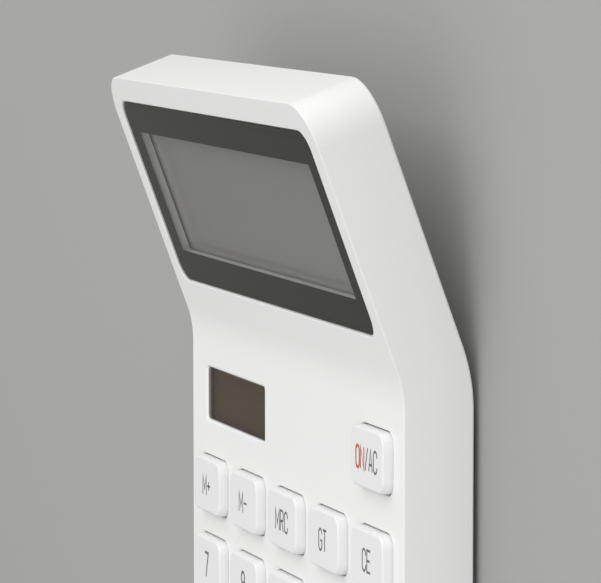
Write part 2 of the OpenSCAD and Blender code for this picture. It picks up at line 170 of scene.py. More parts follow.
# Places worked out from the sizes above
BEND_RUN = BEND_R * math.tan(TILT / 2)
HEAD_REACH = HEAD_L * math.cos(TILT) + CASE_T * math.sin(TILT)
REST_Y = (DECK_L - HEAD_REACH) / 2
REST_Z = CASE_T + FOOT_H
POCKET_DEPTH = LENS_INSET + LENS_T + MASK_T
LENS_MID = HEAD_L - LENS_MARGIN - LENS_H / 2
COVER_BACK = CASE_T - COVER_INSET
COVER_TOP = COVER_BACK - COVER_T
COUNTERBORE = SCREW_HEAD_T + HEAD_SINK
DOOR_TOP = COVER_BACK - DOOR_T
CELL_X = CELL_D / 2 + DOOR_EDGE - DOOR_W / 2
DOOR_SCREW_X = DOOR_W / 2 - SCREW_HEAD_D / 2 - DOOR_EDGE
PANEL_MID = (HEAD_L - DECK_L) / 2
PANEL_L = HEAD_L + DECK_L

# Camera that fits the photograph, in millimetres from the bend
CAMERA_AT = (608.28, 75.56, 207.12)
CAMERA_RIGHT = (0.324970, -0.000760, -0.945724)
CAMERA_UP = (-0.094730, 0.994944, -0.033350)
CAMERA_LENS = 229.6
SENSOR_W = 36.0

KEY_LEGENDS = {
    "key_m_plus": "M+", "key_m_minus": "M-", "key_mrc": "MRC", "key_gt": "GT", "key_ce": "CE",
    "key_7": "7", "key_8": "8", "key_9": "9", "key_percent": "%", "key_root": "√",
    "key_4": "4", "key_5": "5", "key_6": "6", "key_multiply": "×", "key_divide": "÷",
    "key_1": "1", "key_2": "2", "key_3": "3", "key_plus": "+", "key_minus": "-",
    "key_0": "0", "key_00": "00", "key_point": ".", "key_sign": "±", "key_equals": "=",
}
COLUMNS = 5
ROWS = len(KEY_LEGENDS) // COLUMNS
POWER_KEY = "key_on_ac"
POWER_LEGEND = (("ON", "ink_orange", 1.25), ("/AC", "ink_grey", 1.0))
LEGEND_H = 3.5
DIGIT_H = 4.4
SIGN_H = 6.0
SIGN_WEIGHT = 0.75
POINT_WEIGHT = 1.4
SIGNS = "×÷+-=.±"
STROKE = 0.115
LETTER_GAP = 0.16
INK_T = 0.03
MITRE_LIMIT = 0.45
SAME_POINT = 1e-4


# Places on the bent case

def place(x, s, depth):
    """Point of the case: x across, s along the front face through the bend, depth below it."""
    if s <= -BEND_RUN:
        y, z = s, -depth
    elif s >= BEND_RUN:
        y = s * math.cos(TILT) + depth * math.sin(TILT)
        z = s * math.sin(TILT) - depth * math.cos(TILT)
    else:
        a = TILT * (s + BEND_RUN) / (2 * BEND_RUN)
        y = (BEND_R + depth) * math.sin(a) - BEND_RUN
        z = BEND_R - (BEND_R + depth) * math.cos(a)
    return Vector((x, y + REST_Y, z + REST_Z)) * MM


def corner_arc(cx, cs, r, start):
    """Quarter turn of an outline about a corner's centre, from the start angle in degrees."""
    turns = [math.radians(start + 90 * i / CORNER_STEPS) for i in range(CORNER_STEPS + 1)]
    return [(cx + r * math.cos(t), cs + r * math.sin(t)) for t in turns]


def rounded_outline(cx, cs, w, h, r):
    """Rounded rectangle as (x, s) points, counter-clockwise from its near left corner."""
    hw, hh = w / 2 - r, h / 2 - r
    return (corner_arc(cx - hw, cs - hh, r, 180) + corner_arc(cx + hw, cs - hh, r, 270)
            + corner_arc(cx + hw, cs + hh, r, 0) + corner_arc(cx - hw, cs + hh, r, 90))


def case_outline(inset):
    """The case's outline drawn in by inset, with points at each step of the bend on both sides."""
    plain = rounded_outline(0, PANEL_MID, CASE_W - 2 * inset, PANEL_L - 2 * inset, CORNER_R - inset)
    steps = [BEND_RUN * (2 * i / BEND_STEPS - 1) for i in range(BEND_STEPS + 1)]
    side = CASE_W / 2 - inset
    half = 2 * (CORNER_STEPS + 1)
    right = [(side, s) for s in steps]
    left = [(-side, s) for s in reversed(steps)]
    return plain[:half] + right + plain[half:] + left


def fillet(r, steps=FILLET_STEPS):
    """Quarter round from the face to the wall: (distance from the wall, depth) pairs."""
    turns = [math.pi / 2 * i / steps for i in range(steps + 1)]
    return [(r * (1 - math.sin(t)), r * (1 - math.cos(t))) for t in turns]


def disc_outline(cx, cs, r):
    """Circle as (x, s) points, with as many as a rounded rectangle has."""
    count = 4 * (CORNER_STEPS + 1)
    turns = [math.radians(180 + 360 * (i + 0.5) / count) for i in range(count)]
    return [(cx + r * math.cos(t), cs + r * math.sin(t)) for t in turns]


def disc_at(cx, cs, r):
    """A round opening's outline as a function of how far it is grown."""
    return lambda grow: disc_outline(cx, cs, r + grow)


# Mesh helpers

def loop_of(bm, outline, depth):
    """An outline's points at one depth below the face."""
    return [bm.verts.new(place(x, s, depth)) for x, s in outline]


def skin(bm, loops):
    """Quads between each pair of closed loops that have as many points."""
    faces = []
    for a, b in zip(loops, loops[1:]):
        for i in range(len(a)):
            j = (i + 1) % len(a)
            faces.append(bm.faces.new((a[i], a[j], b[j], b[i])))
    return faces


def ring_edges(bm, loop):
    """Edges round a closed loop."""
    pairs = zip(loop, loop[1:] + loop[:1])
    return [bm.edges.get(p) or bm.edges.new(p) for p in pairs]


def fill(bm, edges):
    """Flat face inside a border and round its holes."""
    bmesh.ops.triangle_fill(bm, use_beauty=True, use_dissolve=False, edges=edges)


def panel(bm, outer, holes):
    """A face of the case with openings: flat deck, bend and flat head inside one outline loop."""
    half = 2 * (CORNER_STEPS + 1)
    right = outer[half:half + BEND_STEPS + 1]
    left = outer[-(BEND_STEPS + 1):]
    left_up = left[::-1]
    for i in range(BEND_STEPS):
        bm.faces.new((left_up[i], right[i], right[i + 1], left_up[i + 1]))
    deck = [left[-1]] + outer[:half] + [right[0]]
    head = [right[-1]] + outer[half + BEND_STEPS + 1:-(BEND_STEPS + 1)] + [left[0]]
    for border, on_head in ((deck, False), (head, True)):
        edges = ring_edges(bm, border)
        for hole, hole_on_head in holes:
            if hole_on_head == on_head:
                edges += ring_edges(bm, hole)
        fill(bm, edges)


def finish_mesh(name, bm, sharp=SHARP):
    """Closes a mesh's seams, points its faces outwards, and shades it smooth up to an angle."""
    bmesh.ops.remove_doubles(bm, verts=bm.verts, dist=SEAM)
    bmesh.ops.recalc_face_normals(bm, faces=bm.faces)
    limit = math.radians(sharp)
    for face in bm.faces:
        face.smooth = True
    for edge in bm.edges:
        edge.smooth = len(edge.link_faces) == 2 and edge.calc_face_angle(0) < limit
    mesh = bpy.data.meshes.new(name)
    bm.to_mesh(mesh)
    bm.free()
    piece = bpy.data.objects.new(name, mesh)
    bpy.context.scene.collection.objects.link(piece)
    return piece


def dress(piece, finish, body, slot, *replaced):
    """Gives a piece its material and its body, and hides the solids it stands for. The slot is not used."""
    piece.data.materials.append(finish)
    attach(piece, body)
    if replaced:
        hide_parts(*replaced)


# Shader maths

# Places of the colour sockets among a Mix node's inputs and outputs
MIX_FACTOR, MIX_LOW, MIX_HIGH, MIX_RESULT = 0, 6, 7, 2
# Share of light that a clear plate reflects when seen face on
FACE_ON_GLOSS = 0.03


class Value:
    """A socket of a node tree; arithmetic on it adds Math nodes."""

    def __init__(self, nodes, socket):
        self.nodes = nodes
        self.socket = socket

    def math(self, operation, a, b):
        return self.nodes.node("ShaderNodeMath", {"operation": operation}, {0: a, 1: b})

    def __add__(self, other):
        return self.math("ADD", self, other)

    def __radd__(self, other):
        return self.math("ADD", other, self)

    def __sub__(self, other):
        return self.math("SUBTRACT", self, other)

    def __rsub__(self, other):
        return self.math("SUBTRACT", other, self)

    def __mul__(self, other):
        return self.math("MULTIPLY", self, other)

    def __rmul__(self, other):
        return self.math("MULTIPLY", other, self)

    def __truediv__(self, other):
        return self.math("DIVIDE", self, other)

    def __pow__(self, power):
        return self.math("POWER", self, power)

    def above(self, edge):
        return self.math("GREATER_THAN", self, edge)

    def modulo(self, step):
        return self.math("FLOORED_MODULO", self, step)

    def other(self, output):
        """Another output of the same node."""
        return Value(self.nodes, self.socket.node.outputs[output])


class Nodes:
    """A node tree: node() adds a node with its settings and the values or links of its sockets."""

    def __init__(self, tree):
        self.tree = tree

    def feed(self, socket, value):
        if isinstance(value, list):
            for one in value:
                self.feed(socket, one)
        elif isinstance(value, Value):
            self.tree.links.new(value.socket, socket)
        elif socket.type == "RGBA" and len(value) == 3:
            socket.default_value = (*value, 1)
        else:
            socket.default_value = value

    def node(self, kind, settings, sockets, output=0):
        made = self.tree.nodes.new(kind)
        for name, value in settings.items():
            setattr(made, name, value)
        for name, value in sockets.items():
            self.feed(made.inputs[name], value)
        if made.outputs:
            return Value(self, made.outputs[output])


class Finish(Nodes):
    """One material: a Principled surface, its constant sockets, and the nodes that vary it."""

    def __init__(self, name, constants):
        self.material = bpy.data.materials.new(name)
        self.material.use_nodes = True
        super().__init__(self.material.node_tree)
        self.surface = self.tree.nodes["Principled BSDF"]
        self.output = self.tree.nodes["Material Output"]
        for socket, value in constants.items():
            self.set(socket, value)

    def set(self, socket, value):
        self.feed(self.surface.inputs[socket], value)

    def coordinates(self):
        return self.node("ShaderNodeTexCoord", {}, {}, "Object")

    def along(self, axis):
        return self.node("ShaderNodeSeparateXYZ", {}, {"Vector": self.coordinates()}, axis)

    def noise(self, scale, detail=2.0, roughness=0.5):
        sockets = {"Vector": self.coordinates(), "Scale": scale, "Detail": detail, "Roughness": roughness}
        return self.node("ShaderNodeTexNoise", {}, sockets, "Fac")

    def blend(self, factor, low, high):
        sockets = {MIX_FACTOR: factor, MIX_LOW: low, MIX_HIGH: high}
        return self.node("ShaderNodeMix", {"data_type": "RGBA"}, sockets, MIX_RESULT)

    def bump(self, height, strength, distance):
        sockets = {"Height": height, "Strength": strength, "Distance": distance}
        self.set("Normal", self.node("ShaderNodeBump", {}, sockets, "Normal"))


def shade(colour, factor):
    return tuple(c * factor for c in colour)


# Finishes

def moulded_plastic(name, colour, roughness, grain):
    """Satin moulded plastic: a fine spark-eroded grain and a faint drift in tone and gloss."""
    made = Finish(name, {"IOR": 1.5})
    drift = made.noise(35.0)
    made.set("Base Color", made.blend(drift, shade(colour, 0.985), colour))
    fine = made.noise(grain, 3.0)
    made.set("Roughness", roughness + (fine - 0.5) * 0.12)
    made.bump(fine, 0.12, 0.00002)
    return made.material


def printed_ink(name, colour):
    made = Finish(name, {"IOR": 1.45})
    patch = made.noise(4000.0)
    made.set("Base Color", made.blend(patch, shade(colour, 0.9), shade(colour, 1.08)))
    made.set("Roughness", 0.45 + patch * 0.15)
    return made.material


def clear_plate(name, tint, roughness):
    """A polished clear plate: it lets light straight through and reflects more at a low angle."""
    made = Finish(name, {})
    made.tree.nodes.remove(made.surface)
    through = made.node("ShaderNodeBsdfTransparent", {}, {"Color": tint})
    gloss = made.node("ShaderNodeBsdfGlossy", {}, {"Roughness": roughness})
    slant = made.node("ShaderNodeLayerWeight", {}, {"Blend": 0.5}, "Facing")
    inside = made.node("ShaderNodeNewGeometry", {}, {}, "Backfacing")
    reflected = (FACE_ON_GLOSS + slant ** 5 * (1 - FACE_ON_GLOSS)) * (1 - inside)
    mixed = made.node("ShaderNodeMixShader", {}, {0: reflected, 1: through, 2: gloss})
    made.feed(made.output.inputs["Surface"], mixed)
    return made.material


def print_and_painted_shade(name, colour):
    """Opaque print behind the lens, with a trace of screen texture; it also gives the grey painted shade on
    the display window's walls.
    """
    made = Finish(name, {"Roughness": 0.7, "Specular IOR Level": 0.0})
    speck = made.noise(2500.0)
    made.set("Base Color", made.blend(speck, shade(colour, 0.85), shade(colour, 1.1)))
    return made.material


def liquid_crystal(name, colour):
    """Grey polariser over the LCD: a soft tone drift and a smooth front film."""
    made = Finish(name, {"IOR": 1.5})
    drift = made.noise(14.0)
    weave = made.noise(6000.0)
    made.set("Base Color", made.blend(drift, shade(colour, 0.96), shade(colour, 1.04)))
    made.set("Roughness", 0.16 + weave * 0.06)
    return made.material


def silicon_film(name, colour, line):
    """Brown solar film in side-by-side cells, parted by thin scribed lines."""
    made = Finish(name, {"IOR": 1.5, "Specular IOR Level": 0.1})
    pitch = SOLAR_W * MM / SOLAR_CELLS
    across = (made.along("X") - (SOLAR_X - SOLAR_W / 2) * MM).modulo(pitch)
    scribed = across.above(pitch - SCRIBE_W * MM)
    tone = made.blend(made.noise(180.0), shade(colour, 0.85), shade(colour, 1.15))
    made.set("Base Color", made.blend(scribed, tone, line))
    made.set("Roughness", 0.4 + made.noise(900.0) * 0.1)
    return made.material


def soft_rubber(name, colour):
    made = Finish(name, {"IOR": 1.45})
    fine = made.noise(3500.0, 4.0)
    made.set("Base Color", made.blend(fine, shade(colour, 0.8), shade(colour, 1.15)))
    made.set("Roughness", 0.7 + fine * 0.2)
    made.bump(fine, 0.2, 0.00003)
    return made.material


def bright_metal(name, colour, roughness):
    made = Finish(name, {"Metallic": 1.0})
    turned = made.noise(2200.0, 3.0)
    made.set("Base Color", made.blend(turned, shade(colour, 0.85), colour))
    made.set("Roughness", roughness + turned * 0.15)
    return made.material


def circuit_board(name, colour, copper):
    """Green resist over copper runs that show as slightly lighter lines."""
    made = Finish(name, {"IOR": 1.5, "Roughness": 0.35})
    run = made.along("X").modulo(RUN_PITCH * MM).above(RUN_GAP * MM)
    cross = made.along("Y").modulo(LINK_PITCH * MM).above(LINK_GAP * MM)
    made.set("Base Color", made.blend(run * cross, colour, copper))
    made.bump(run * cross, 0.2, 0.00002)
    return made.material


MATERIALS = {
    "case_white": moulded_plastic("case_white", (0.83, 0.83, 0.825), 0.42, 5200.0),
    "key_white": moulded_plastic("key_white", (0.79, 0.79, 0.788), 0.4, 6500.0),
    "tray_white": moulded_plastic("tray_white", (0.6, 0.6, 0.59), 0.5, 5200.0),
    "ink_grey": printed_ink("ink_grey", (0.16, 0.16, 0.165)),
    "ink_orange": printed_ink("ink_orange", (0.5, 0.11, 0.05)),
    "lens_clear": clear_plate("lens_clear", (0.9, 0.9, 0.89), 0.08),
    "solar_clear": clear_plate("solar_clear", (0.72, 0.7, 0.67), 0.06),
    "mask_dark": print_and_painted_shade("mask_dark", (0.019, 0.0195, 0.0135)),
    # Mid grey painted on the display window's walls: painted shade standing for the white moulding in shadow
    # under the lens
    "window_wall_painted_shade": print_and_painted_shade("window_wall_painted_shade", (0.56, 0.56, 0.55)),
    "lcd_grey": liquid_crystal("lcd_grey", (0.345, 0.342, 0.335)),
    "solar_brown": silicon_film("solar_brown", (0.275, 0.215, 0.12), (0.32, 0.265, 0.17)),
    "foot_grey": soft_rubber("foot_grey", (0.12, 0.12, 0.12)),
    "mat_grey": soft_rubber("mat_grey", (0.42, 0.42, 0.41)),
    "screw_steel": bright_metal("screw_steel", (0.62, 0.62, 0.61), 0.25),
    "contact_brass": bright_metal("contact_brass", (0.75, 0.58, 0.28), 0.25),
    "reflector_silver": bright_metal("reflector_silver", (0.7, 0.7, 0.68), 0.45),
    "ribbon_tan": moulded_plastic("ribbon_tan", (0.5, 0.33, 0.14), 0.35, 900.0),
    "board_green": circuit_board("board_green", (0.03, 0.14, 0.06), (0.05, 0.22, 0.09)),
    "chip_black": soft_rubber("chip_black", (0.02, 0.02, 0.02)),
    "wire_red": moulded_plastic("wire_red", (0.45, 0.04, 0.035), 0.4, 3000.0),
}


# Front shell

def opening(bm, outline, profile):
    """Walls of an opening: outline(grow) gives its points, profile lists (grow, depth) from the face down."""
    loops = [loop_of(bm, outline(grow), depth) for grow, depth in profile]
    skin(bm, loops)
    return loops[0], loops[-1]


def rim(r, floor, edge=0.0):
    """Profile of an opening with a rounded rim, straight down to the floor and eased by edge there."""
    steps = [(r + SUPPORT, 0.0)] + fillet(r)
    if edge:
        steps += [(0.0, floor - edge), (edge, floor)]
    else:
        steps += [(0.0, floor)]
    return steps


def key_centre(name):
    lo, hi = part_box(name)
    mid = (Vector(lo) + Vector(hi)) / 2 / MM
    return mid.x, mid.y - REST_Y


def key_opening(cx, cs):
    def outline(grow):
        extra = 2 * (KEY_GAP + grow)
        return rounded_outline(cx, cs, KEY_W + extra, KEY_H + extra, KEY_R + KEY_GAP + grow)
    return outline


def solar_opening(grow):
    return rounded_outline(SOLAR_X, SOLAR_S, SOLAR_W + 2 * grow, SOLAR_H + 2 * grow, SOLAR_R + max(grow, 0))


def lens_opening(grow):
    extra = 2 * (LENS_GAP + grow)
    return rounded_outline(0, LENS_MID, LENS_W + extra, LENS_H + extra, LENS_R + LENS_GAP + grow)


def window_opening(grow):
    extra = 2 * (WINDOW_RELIEF + grow)
    return rounded_outline(0, LENS_MID, WINDOW_W + extra, WINDOW_H + extra, WINDOW_R + max(grow, 0))


def key_at(row, column):
    return key_centre(list(KEY_LEGENDS)[row * COLUMNS + column])


def gap_place(row, column):
    """Middle of the four keys round a gap."""
    near, far = key_at(row + 1, column + 1), key_at(row, column)
    return (near[0] + far[0]) / 2, (near[1] + far[1]) / 2


def case_screw_places():
    """The case screws as (x, s, on the head)."""
    deck = [gap_place(row, column) for row in (0, ROWS - 2) for column in (0, COLUMNS - 2)]
    x = CASE_W / 2 - WALL - BOSS_D
    head = [(side * x, BEND_RUN + HEAD_SCREW_PAST) for side in (-1, 1)]
    return [(*at, False) for at in deck] + [(*at, True) for at in head]


def board_screw_places():
    return [gap_place(row, column) for row in (0, ROWS - 2) for column in (1, COLUMNS - 3)]


def foot_places():
    x = CASE_W / 2 - FOOT_EDGE
    return [(side * x, s) for side in (-1, 1) for s in (FOOT_EDGE - DECK_L, -BEND_RUN - FOOT_D)]


def boss(bm, x, s, top, bottom, bore):
    """Screw boss on the inside of a wall, with a blind bore from its end; gives its outline on the wall."""
    r = SCREW_D / 2 + SCREW_GAP
    steps = ((BOSS_D / 2, top), (BOSS_D / 2, bottom), (r, bottom), (r, bottom - bore))
    loops = [loop_of(bm, disc_outline(x, s, radius), depth) for radius, depth in steps]
    skin(bm, loops)
    bm.faces.new(loops[-1])
    return loops[0]


def make_shell(key_names):
    """The white moulding: deck and head with their openings, side walls, screw bosses and the solar rib."""
    bm = bmesh.new()
    profile = [(FRONT_FILLET + SUPPORT, 0.0)] + fillet(FRONT_FILLET)
    profile += [(inset, CASE_T - depth) for inset, depth in reversed(fillet(BACK_FILLET))]
    profile += [(WALL - RIM_FILLET, CASE_T), (WALL, CASE_T - RIM_FILLET)]
    profile += [(WALL, WALL), (WALL + SUPPORT, WALL)]
    outer = [loop_of(bm, case_outline(inset), depth) for inset, depth in profile]
    skin(bm, outer)
    front_holes, back_holes = [], []
    key_rim = rim(OPENING_FILLET, WALL, OPENING_FILLET / 2)
    for name in key_names:
        front, back = opening(bm, key_opening(*key_centre(name)), key_rim)
        front_holes.append((front, False))
        back_holes.append((back, False))
    pocket = SOLAR_LAP + SOLAR_GAP
    rib_back = SOLAR_BACK + SOLAR_CELL_T
    rib = pocket + SOLAR_RIB
    behind = [(pocket, SOLAR_DEPTH), (pocket, rib_back), (rib, rib_back), (rib, WALL)]
    front, back = opening(bm, solar_opening, rim(SOLAR_RIM, SOLAR_DEPTH) + behind)
    front_holes.append((front, False))
    back_holes.append((back, False))
    front, ledge = opening(bm, lens_opening, rim(POCKET_FILLET, POCKET_DEPTH))
    window = [loop_of(bm, window_opening(0.0), depth) for depth in (POCKET_DEPTH, WALL)]
    skin(bm, [ledge, window[0]])
    # The window's walls take the second material, grey painted shade on the white moulding
    for face in skin(bm, window):
        face.material_index = 1
    front_holes.append((front, True))
    back_holes.append((window[-1], True))
    for x, s, on_head in case_screw_places():
        back_holes.append((boss(bm, x, s, WALL, COVER_TOP, SCREW_L), on_head))
    for x, s in board_screw_places():
        back_holes.append((boss(bm, x, s, WALL, BOARD_TOP, SCREW_L), False))
    panel(bm, outer[0], front_holes)
    panel(bm, outer[-1], back_holes)
    piece = finish_mesh("front_shell_moulding", bm)
    dress(piece, MATERIALS["case_white"], "case", "case_white", "front_shell")
    # Second material: the grey painted shade of the window walls
    piece.data.materials.append(MATERIALS["window_wall_painted_shade"])


# Back cover, door, screws and feet

def make_back_cover():
    """Bent cover plate with eased edges, sunk screw holes, foot recesses and the battery opening."""
    bm = bmesh.new()

    def outline(inset):
        return case_outline(WALL + COVER_GAP + inset)

    profile = [(SUPPORT, COVER_TOP), (0.0, COVER_TOP)]
    profile += [(inset, COVER_BACK - depth) for inset, depth in reversed(fillet(COVER_FILLET))]
    profile += [(COVER_FILLET + SUPPORT, COVER_BACK)]
    outer = [loop_of(bm, outline(inset), depth) for inset, depth in profile]
    skin(bm, outer)
    inner_holes, back_holes = [], []
    sunk = SCREW_D / 2 - SCREW_HEAD_D / 2
    for x, s, on_head in case_screw_places():
        steps = [(SUPPORT, COVER_BACK), (0.0, COVER_BACK - SUPPORT), (0.0, COVER_BACK - COUNTERBORE),
                 (sunk, COVER_BACK - COUNTERBORE), (sunk, COVER_TOP)]
        back, inner = opening(bm, disc_at(x, s, SCREW_HEAD_D / 2 + PASS_GAP), steps)
        back_holes.append((back, on_head))
        inner_holes.append((inner, on_head))
    for x, s in foot_places():
        steps = [(SUPPORT, COVER_BACK), (0.0, COVER_BACK - SUPPORT), (0.0, COVER_BACK - FOOT_SEAT)]
        back, seat = opening(bm, disc_at(x, s, FOOT_D / 2 + FOOT_GAP), steps)
        back_holes.append((back, False))
        bm.faces.new(seat)

    def door_opening(grow):
        extra = 2 * (DOOR_GAP + grow)
        return rounded_outline(0, LENS_MID, DOOR_W + extra, DOOR_H + extra, DOOR_R + DOOR_GAP + grow)

    steps = [(SUPPORT, COVER_BACK), (0.0, COVER_BACK - SUPPORT), (0.0, DOOR_TOP)]
    back, ledge = opening(bm, door_opening, steps)
    back_holes.append((back, True))
    floor = ring_edges(bm, ledge)
    bore = SCREW_D / 2 + SCREW_GAP
    sleeve = BOSS_D / 2 - bore
    sleeve_end = COVER_TOP - DOOR_BOSS_L
    straight = [(0.0, DOOR_TOP), (0.0, COVER_TOP)]
    sleeved = [(0.0, DOOR_TOP), (0.0, sleeve_end), (sleeve, sleeve_end), (sleeve, COVER_TOP)]
    for x, r, steps in ((CELL_X, CELL_D / 2 + CELL_GAP, straight), (DOOR_SCREW_X, bore, sleeved)):
        mouth, inner = opening(bm, disc_at(x, LENS_MID, r), steps)
        floor += ring_edges(bm, mouth)
        inner_holes.append((inner, True))
    fill(bm, floor)
    panel(bm, outer[0], inner_holes)
    panel(bm, outer[-1], back_holes)
    piece = finish_mesh("back_cover_moulding", bm)
    dress(piece, MATERIALS["case_white"], "case", "case_white", "back_cover")


def make_battery_door():
    """Door plate with eased edges, and a countersunk screw hole."""
    bm = bmesh.new()

    def outline(shrink):
        return rounded_outline(0, LENS_MID, DOOR_W - 2 * shrink, DOOR_H - 2 * shrink, DOOR_R - shrink)

    profile = [(SUPPORT, DOOR_TOP), (0.0, DOOR_TOP)]
    profile += [(inset, COVER_BACK - depth) for inset, depth in reversed(fillet(DOOR_FILLET, EASE_STEPS))]
    profile += [(DOOR_FILLET + SUPPORT, COVER_BACK)]
    loops = [loop_of(bm, outline(inset), depth) for inset, depth in profile]
    skin(bm, loops)
    sunk = SCREW_D / 2 - SCREW_HEAD_D / 2
    steps = [(0.0, COVER_BACK), (sunk, COVER_BACK - SCREW_HEAD_T), (sunk, DOOR_TOP)]
    back, inner = opening(bm, disc_at(DOOR_SCREW_X, LENS_MID, SCREW_HEAD_D / 2 + SCREW_GAP), steps)
    fill(bm, ring_edges(bm, loops[-1]) + ring_edges(bm, back))
    fill(bm, ring_edges(bm, loops[0]) + ring_edges(bm, inner))
    piece = finish_mesh("battery_door_plate", bm)
    dress(piece, MATERIALS["case_white"], "case", "case_white", "battery_door")


def stud_tree(name, finish, driven):
    """Geometry Nodes for a turned stud on each point; a driven one has a cross recess and a shank."""
    tree = bpy.data.node_groups.new(name, "GeometryNodeTree")
    face = tree.interface
    face.new_socket(name="Points", in_out="INPUT", socket_type="NodeSocketGeometry")
    sizes = ["Seat Diameter", "Head Diameter", "Rim Height", "Crown Height", "Crown Ratio"]
    if driven:
        sizes += ["Recess Width", "Recess Length", "Recess Depth", "Shank Diameter", "Shank Length"]
    for size in sizes:
        face.new_socket(name=size, in_out="INPUT", socket_type="NodeSocketFloat")
    face.new_socket(name="Studs", in_out="OUTPUT", socket_type="NodeSocketGeometry")
    made = Nodes(tree)
    points = made.node("NodeGroupInput", {}, {}, "Points")
    size = {name: points.other(name) for name in sizes}
    sockets = {"Vertices": STUD_SIDES, "Radius Bottom": size["Seat Diameter"] / 2,
               "Radius Top": size["Head Diameter"] / 2, "Depth": size["Rim Height"]}
    head = made.node("GeometryNodeMeshCone", {"fill_type": "NGON"}, sockets, "Mesh")
    sockets = {"Mesh": head, "Selection": head.other("Top"), "Offset Scale": size["Crown Height"]}
    crown = made.node("GeometryNodeExtrudeMesh", {}, sockets, "Mesh")
    sockets = {"Geometry": crown, "Selection": crown.other("Top"), "Scale": size["Crown Ratio"]}
    stud = made.node("GeometryNodeScaleElements", {}, sockets)
    if driven:
        top = made.node("ShaderNodeCombineXYZ", {}, {"Z": size["Rim Height"] + size["Crown Height"]})
        # Each arm is a block centred on the top, the second a little deeper so that their floors part
        for along, across, depths in (("X", "Y", 2.0), ("Y", "X", 2.1)):
            shape = {along: size["Recess Length"], across: size["Recess Width"]}
            shape["Z"] = size["Recess Depth"] * depths
            shape = made.node("ShaderNodeCombineXYZ", {}, shape)
            arm = made.node("GeometryNodeMeshCube", {}, {"Size": shape})
            arm = made.node("GeometryNodeTransform", {}, {"Geometry": arm, "Translation": top})
            meshes = {"Mesh 1": stud, "Mesh 2": arm}
            stud = made.node("GeometryNodeMeshBoolean", {"operation": "DIFFERENCE"}, meshes)
        shank = made.node("GeometryNodeMeshCylinder", {"fill_type": "NGON"},
                          {"Vertices": STUD_SIDES, "Radius": size["Shank Diameter"] / 2,
                           "Depth": size["Shank Length"] + SHANK_LAP})
        inward = made.node("ShaderNodeCombineXYZ", {}, {"Z": (size["Shank Length"] - SHANK_LAP) / -2})
        shank = made.node("GeometryNodeTransform", {}, {"Geometry": shank, "Translation": inward})
        stud = made.node("GeometryNodeJoinGeometry", {}, {"Geometry": [stud, shank]})
    axis = made.node("GeometryNodeInputNamedAttribute", {"data_type": "FLOAT_VECTOR"}, {"Name": "axis"})
    turn = made.node("FunctionNodeAlignRotationToVector", {"axis": "Z"}, {"Vector": axis})
    sockets = {"Points": points, "Instance": stud, "Rotation": turn, "Scale": (MM, MM, MM)}
    studs = made.node("GeometryNodeInstanceOnPoints", {}, sockets)
    studs = made.node("GeometryNodeRealizeInstances", {}, {"Geometry": studs})
    studs = made.node("GeometryNodeSetMaterial", {}, {"Geometry": studs, "Material": finish})
    made.node("NodeGroupOutput", {}, {"Studs": studs})
    return tree


def make_studs(name, tree, sizes, places, slot, replaced):
    """One plain mesh of all the studs that a tree sets on (point, axis) places; sizes in millimetres."""
    mesh = bpy.data.meshes.new(name + "_points")
    mesh.from_pydata([point for point, axis in places], [], [])
    axes = mesh.attributes.new("axis", "FLOAT_VECTOR", "POINT")
    for item, (point, axis) in zip(axes.data, places):
        item.vector = axis
    holder = bpy.data.objects.new(name + "_points", mesh)
    bpy.context.scene.collection.objects.link(holder)
    modifier = holder.modifiers.new("studs", "NODES")
    modifier.node_group = tree
    for socket in tree.interface.items_tree:
        if socket.name in sizes:
            modifier[socket.identifier] = sizes[socket.name]
    bpy.context.view_layer.update()
    graph = bpy.context.evaluated_depsgraph_get()
    grown = bpy.data.meshes.new_from_object(holder.evaluated_get(graph))
    holder.modifiers.remove(modifier)
    bpy.data.objects.remove(holder)
    bm = bmesh.new()
    bm.from_mesh(grown)
    for face in bm.faces:
        face.material_index = 0
    dress(finish_mesh(name, bm), MATERIALS[slot], "case", slot, replaced)


def back_axis(on_head):
    """The way out of the case's back."""
    return Vector((0, math.sin(TILT), -math.cos(TILT))) if on_head else Vector((0, 0, -1))


